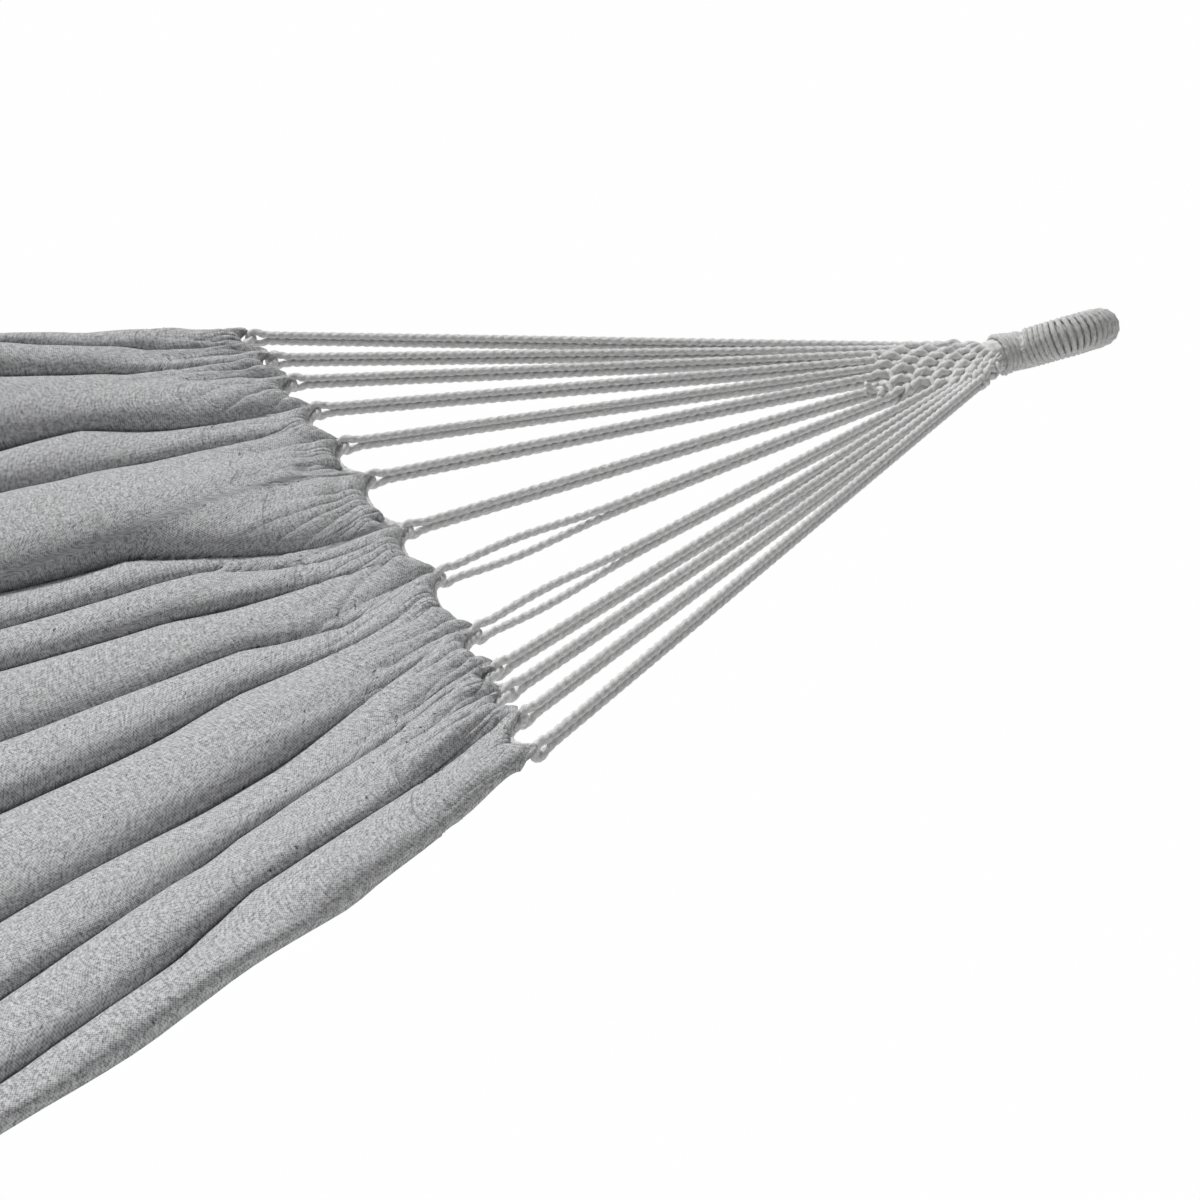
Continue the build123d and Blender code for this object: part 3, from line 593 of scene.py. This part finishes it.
class HAMMOCK_OT_bed_cloth(bpy.types.Operator):
    """Canvas bed with its lengthwise folds, and the doubled, gathered hem at each end."""

    bl_idname = "hammock.bed_cloth"
    bl_label = "Bed cloth"

    def execute(self, context):
        sizes = context.scene.hammock_sizes
        material = material_for("heathered_cotton_canvas", context.scene)
        across = np.linspace(1, -1, 430)
        back = HEM_DEPTH * 0.94 + (1 - HEM_DEPTH * 0.94) * np.linspace(0, 1, 56) ** 1.45
        point, normal, _ = cloth_grid(across, back, sizes)
        single = sizes.cloth / 2
        grids = []
        for side in (1, -1):
            right = point + side * single * normal
            grids.append(np.concatenate([right, flip_x(right)[-2::-1]]))
        along = np.concatenate([back, 2 - back[-2::-1]])
        uv = np.stack(np.broadcast_arrays(0.42 * across[None, :], along[:, None]), -1)
        canvas = finish_piece(put_mesh("bed_canvas", [shell(*grids, uv)], material), "sling", "canvas", "bed_cloth")

        across = np.linspace(1, -1, 1000)
        back = HEM_DEPTH * np.linspace(0, 1, 46) ** 1.3
        point, normal, distance = cloth_grid(across, back, sizes)
        normal = unit(normal * [0.35, 0.35, 1])
        tunnel = np.sqrt(np.clip(1 - ((distance - 0.0058) / 0.0058) ** 2, 0, 1)) * 0.0050
        tunnel = np.where(distance < 0.0058, tunnel, 0.0050 - 0.00375 * smooth(distance, 0.0058, 0.024))
        open_mouth = smooth(np.abs(across[None, :, None] - NOTCHES).min(-1) * HEM_HALF, 0.002, 0.008)
        thick = np.maximum(tunnel * (0.35 + 0.65 * open_mouth), 0.0004)[..., None]
        uv = np.stack(np.broadcast_arrays(0.42 * across[None, :], back[:, None]), -1)
        part = shell(point + normal * thick, point - normal * thick, uv)
        hems = [put_mesh("hem_right", [part], material), put_mesh("hem_left", [part], material, mirrored=True)]
        for hem in hems:
            finish_piece(hem, "sling", "canvas", "bed_cloth")
        return {"FINISHED"}


class HAMMOCK_OT_hem_stitching(bpy.types.Operator):
    """Two rows of thread across each hem, which close its tunnel."""

    bl_idname = "hammock.hem_stitching"
    bl_label = "Hem stitching"

    def execute(self, context):
        sizes = context.scene.hammock_sizes
        material = material_for("cotton_sewing_thread", context.scene)
        across = np.linspace(0.995, -0.995, 165)
        back = np.array([0.0615, 0.062, 0.0745, 0.075])
        point, normal, _ = cloth_grid(across, back, sizes)
        seat = []
        for row in (0, 2):
            for side in (1, -1):
                seat.append(point[row] + side * normal[row] * 0.0013)
        centre = np.concatenate(seat)
        out = np.concatenate([normal[0], -normal[0], normal[2], -normal[2]])
        run = unit(np.concatenate([np.gradient(p, axis=0) for p in (point[0], point[0], point[2], point[2])]))
        beside = np.cross(out, run)
        shape = np.array([[-1, 0, 0], [-0.5, 1, 0.2], [-0.5, -1, 0.2], [-0.4, 0, 1], [0.4, 0, 1], [0.5, 1, 0.2], [0.5, -1, 0.2], [1, 0, 0], [0, 0, -1]])
        reach = np.array([0.0015, 0.0005, 0.0006])
        points = centre[:, None] + sum((shape[:, k] * reach[k])[None, :, None] * axis[:, None] for k, axis in enumerate((run, beside, out)))
        template = np.array([[0, 3, 1], [0, 2, 3], [1, 3, 4], [1, 4, 5], [2, 4, 3], [2, 6, 4], [5, 4, 7], [4, 6, 7], [0, 1, 8], [1, 5, 8], [5, 7, 8], [7, 6, 8], [6, 2, 8], [2, 0, 8]])
        faces = (template[None] + 9 * np.arange(len(centre))[:, None, None]).reshape(-1, 3)
        along = 0.0048 * np.arange(len(centre))[:, None] + reach[0] * shape[None, :, 0]
        flat = np.stack([0.5 + 0.25 * shape[None, :, 1] + 0 * along, along], -1).reshape(-1, 2)
        part = (points.reshape(-1, 3), [faces], [flat[faces]])
        both_ends("hem_stitching", [part], material, "sling", "canvas")
        return {"FINISHED"}


class HAMMOCK_OT_header_cords(bpy.types.Operator):
    """Three-strand cord through each hem's tunnels, with a knot at each end."""

    bl_idname = "hammock.header_cords"
    bl_label = "Header cords"

    def execute(self, context):
        sizes = context.scene.hammock_sizes
        material = material_for("laid_cotton_cord", context.scene)
        route = header_route()
        parts = [rope(spline(route), np.array([0, 0, 1.0]), sizes.header, sizes.lay * 0.85)]
        for centre in (route[0], route[-1]):
            path, guide = knot_path(centre + [-0.003, 0, -0.003], 0.0038)
            parts.append(rope(path, guide, sizes.header * 0.8, sizes.lay * 0.7))
        both_ends("header_rope", parts, material, "sling", "cotton_rope", "header_cord")
        return {"FINISHED"}


class HAMMOCK_OT_clew_pairs(bpy.types.Operator):
    """Thirteen doubled cords at each end, from the header cord into the weave of the harness."""

    bl_idname = "hammock.clew_pairs"
    bl_label = "Clew cords"

    def execute(self, context):
        sizes = context.scene.hammock_sizes
        material = material_for("laid_cotton_cord", context.scene)
        for j in range(PAIRS):
            path, guide, scale = clew_path(j, sizes)
            part = rope(path, guide, sizes.rope, sizes.lay, scale=scale)
            number = f"{j + 1:02d}"
            both_ends(f"clew_rope_{number}", [part], material, "sling", "cotton_rope", f"clew_pair_{number}")
        return {"FINISHED"}


class HAMMOCK_OT_harness(bpy.types.Operator):
    """Cord woven over and under the pairs, and the knot that ends it."""

    bl_idname = "hammock.harness"
    bl_label = "Woven harness"

    def execute(self, context):
        sizes = context.scene.hammock_sizes
        material = material_for("laid_cotton_cord", context.scene)
        weave = rope(weft_path(), np.array([0, 0, 1.0]), sizes.weft, sizes.lay * 0.7, sides=12, rings=10)
        hubs, targets = header_hubs(), throat_targets()
        share = 0.107 / (targets[6:8, 0] - hubs[6:8, 0])[:, None]
        centre = (targets[6:8] + (hubs[6:8] - targets[6:8]) * share).mean(0) + [0, 0, 0.0055]
        path, guide = knot_path(centre, 0.0072)
        knot = [rope(path, guide, sizes.weft * 1.15, sizes.lay * 0.6)]
        tail = spline(centre + np.array([[0.001, 0, 0], [-0.004, 0.001, 0.005], [-0.009, 0.0, 0.0085]]), 12)
        knot.append(rope(tail, np.array([0, 1.0, 0]), sizes.weft, sizes.lay * 0.7))
        both_ends("harness_weft", [weave], material, "sling", "cotton_rope", "harness_weave")
        both_ends("harness_knot", knot, material, "sling", "cotton_rope", "weft_knot")
        return {"FINISHED"}


class HAMMOCK_OT_eyes(bpy.types.Operator):
    """Bundle of cords bent to each hanging eye, and its neck."""

    bl_idname = "hammock.eyes"
    bl_label = "Eye cores"

    def execute(self, context):
        material = material_for("laid_cotton_cord", context.scene)
        d = np.linspace(0, 1, 120)
        centre, out, total = eye_line(d)

        def bundle(angle, place):
            return CORE_R * (1 - 0.09 * np.abs(np.sin(4 * angle + 30 * place)))

        loop = tube(centre, out, bundle, d * total, 40)
        x = np.linspace(NECK_X + 0.006, THROAT[0] - 0.006, 30)
        share = smooth(NECK_X - x, 0, 0.019)
        ax, ay, az = eye_axes()

        def neck_radius(angle, place):
            k = np.interp(place, x[0] - x, share)
            wide = (CORE_R + LEG_SPREAD * 0.45) * (1 - k) + THROAT_R * k
            thick = CORE_R * 1.02 * (1 - k) + THROAT_R * k
            lobes = 1 - 0.07 * np.abs(np.sin(6 * angle + 40 * place))
            return wide * thick / np.hypot(thick * np.cos(angle), wide * np.sin(angle)) * lobes

        neck = tube(x[:, None] * ax, np.broadcast_to(ay, (30, 3)), neck_radius, x[0] - x, 48)
        both_ends("eye_bundle", [loop, neck], material, "hang_eyes", "cotton_rope", "eye_core")
        return {"FINISHED"}


class HAMMOCK_OT_whippings(bpy.types.Operator):
    """Cord wound close round each eye and each neck."""

    bl_idname = "hammock.whippings"
    bl_label = "Whippings"

    def execute(self, context):
        sizes = context.scene.hammock_sizes
        material = material_for("cotton_whipping_cord", context.scene)
        path, guide = whipping(sizes.eye_turns, 0.03, 0.97, CORE_R + sizes.whip * 0.36)
        wound = rope(path, guide, sizes.whip, 0.017, sides=9, rings=9)
        path, guide = neck_winding(sizes.neck_turns, sizes.whip * 0.30)
        neck = rope(path, guide, sizes.whip * 1.1, 0.018, sides=9, rings=9)
        both_ends("eye_winding", [wound], material, "hang_eyes", "whipping_cord", "eye_whipping")
        both_ends("neck_winding", [neck], material, "hang_eyes", "whipping_cord", "neck_whipping")
        return {"FINISHED"}


class HAMMOCK_OT_stage(bpy.types.Operator):
    """Pale floor, soft light from above and behind, and the camera."""

    bl_idname = "hammock.stage"
    bl_label = "Stage"

    def execute(self, context):
        scene = context.scene
        mesh = bpy.data.meshes.new("floor")
        corners = [(x, y, FLOOR_Z) for x, y in ((-14, -10), (12, -10), (12, 14), (-14, 14))]
        mesh.from_pydata(corners, [], [(0, 1, 2, 3)])
        floor = bpy.data.objects.new("floor", mesh)
        scene.collection.objects.link(floor)
        material, tree = new_material("matt_painted_floor")
        path = add(tree, "ShaderNodeLightPath")
        camera_ray, glossy, through = (path.outputs[f"Is {ray} Ray"] for ray in ("Camera", "Glossy", "Transmission"))
        seen = add(tree, "ShaderNodeMath", {0: camera_ray, 1: glossy}, operation="MAXIMUM")
        seen = add(tree, "ShaderNodeMath", {0: seen.outputs[0], 1: through}, operation="MAXIMUM")
        part = add(tree, "ShaderNodeMath", {0: seen.outputs[0], 1: 0.90}, operation="MULTIPLY")
        matt = add(tree, "ShaderNodeBsdfDiffuse", {"Color": (*scene.hammock_colours.floor, 1)})
        white = add(tree, "ShaderNodeEmission", {"Color": (1, 1, 1, 1), "Strength": 1.0})
        both = add(tree, "ShaderNodeMixShader", {0: part.outputs[0], 1: matt.outputs[0], 2: white.outputs[0]})
        # Clear from below, so that the bed's underside can be seen
        under = add(tree, "ShaderNodeNewGeometry")
        clear = add(tree, "ShaderNodeBsdfTransparent")
        both = add(tree, "ShaderNodeMixShader", {0: under.outputs["Backfacing"], 1: both.outputs[0], 2: clear.outputs[0]})
        add(tree, "ShaderNodeOutputMaterial", {0: both.outputs[0]})
        mesh.materials.append(material)

        world = bpy.data.worlds.new("studio")
        scene.world = world
        world.use_nodes = True
        tree = world.node_tree
        tree.nodes.clear()
        path = add(tree, "ShaderNodeLightPath")
        levels = {"Value": path.outputs["Is Camera Ray"], "To Min": SKY_LIGHT, "To Max": 1.0}
        strength = add(tree, "ShaderNodeMapRange", levels)
        sky = add(tree, "ShaderNodeBackground", {"Color": (1, 1, 1, 1), "Strength": strength.outputs[0]})
        add(tree, "ShaderNodeOutputWorld", {0: sky.outputs[0]})

        lamp = bpy.data.lights.new("high_soft_lamp", "SUN")
        lamp.energy, lamp.angle = SUN_LIGHT, SUN_ANGLE
        sun = bpy.data.objects.new("high_soft_lamp", lamp)
        away = unit(SUN_SIDE)
        side = unit(np.cross([0, 0, 1], away))
        sun.matrix_world = Matrix(np.column_stack([side, np.cross(away, side), away]).tolist()).to_4x4()
        scene.collection.objects.link(sun)

        camera = bpy.data.objects.new("camera", bpy.data.cameras.new("camera"))
        camera.data.lens, camera.data.sensor_width = LENS, SENSOR
        camera.data.clip_start, camera.data.clip_end = 0.05, 60.0
        turn, rise = CAMERA_TURN, CAMERA_RISE
        back = np.array([np.sin(turn) * np.cos(rise), -np.cos(turn) * np.cos(rise), np.sin(rise)])
        right = np.array([np.cos(turn), np.sin(turn), 0])
        pose = Matrix(np.column_stack([right, np.cross(back, right), back]).tolist()).to_4x4()
        pose.translation = CAMERA_PLACE
        camera.matrix_world = pose
        scene.collection.objects.link(camera)
        scene.camera = camera
        scene.view_settings.view_transform = "Standard"
        return {"FINISHED"}


OPERATORS = (
    HAMMOCK_OT_stage,
    HAMMOCK_OT_bed_cloth,
    HAMMOCK_OT_hem_stitching,
    HAMMOCK_OT_header_cords,
    HAMMOCK_OT_clew_pairs,
    HAMMOCK_OT_harness,
    HAMMOCK_OT_eyes,
    HAMMOCK_OT_whippings,
)


class HAMMOCK_PT_panel(bpy.types.Panel):
    """Sizes, colours and pieces of the hammock."""

    bl_idname = "HAMMOCK_PT_panel"
    bl_label = "Cotton Hammock"
    bl_space_type = "VIEW_3D"
    bl_region_type = "UI"
    bl_category = "Hammock"

    def draw(self, context):
        for group in (context.scene.hammock_sizes, context.scene.hammock_colours):
            box = self.layout.box()
            for name in group.__annotations__:
                box.prop(group, name)
        for operator in OPERATORS:
            self.layout.operator(operator.bl_idname)


CLASSES = (HammockSizes, HammockColours, *OPERATORS, HAMMOCK_PT_panel)


def register():
    for cls in CLASSES:
        bpy.utils.register_class(cls)
    bpy.types.Scene.hammock_sizes = PointerProperty(type=HammockSizes)
    bpy.types.Scene.hammock_colours = PointerProperty(type=HammockColours)


def unregister():
    del bpy.types.Scene.hammock_colours
    del bpy.types.Scene.hammock_sizes
    for cls in reversed(CLASSES):
        bpy.utils.unregister_class(cls)


def main():
    """Makes every piece in order."""
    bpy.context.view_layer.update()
    register()
    for operator in OPERATORS:
        group, name = operator.bl_idname.split(".")
        getattr(getattr(bpy.ops, group), name)()


if __name__ == "__main__":
    main()
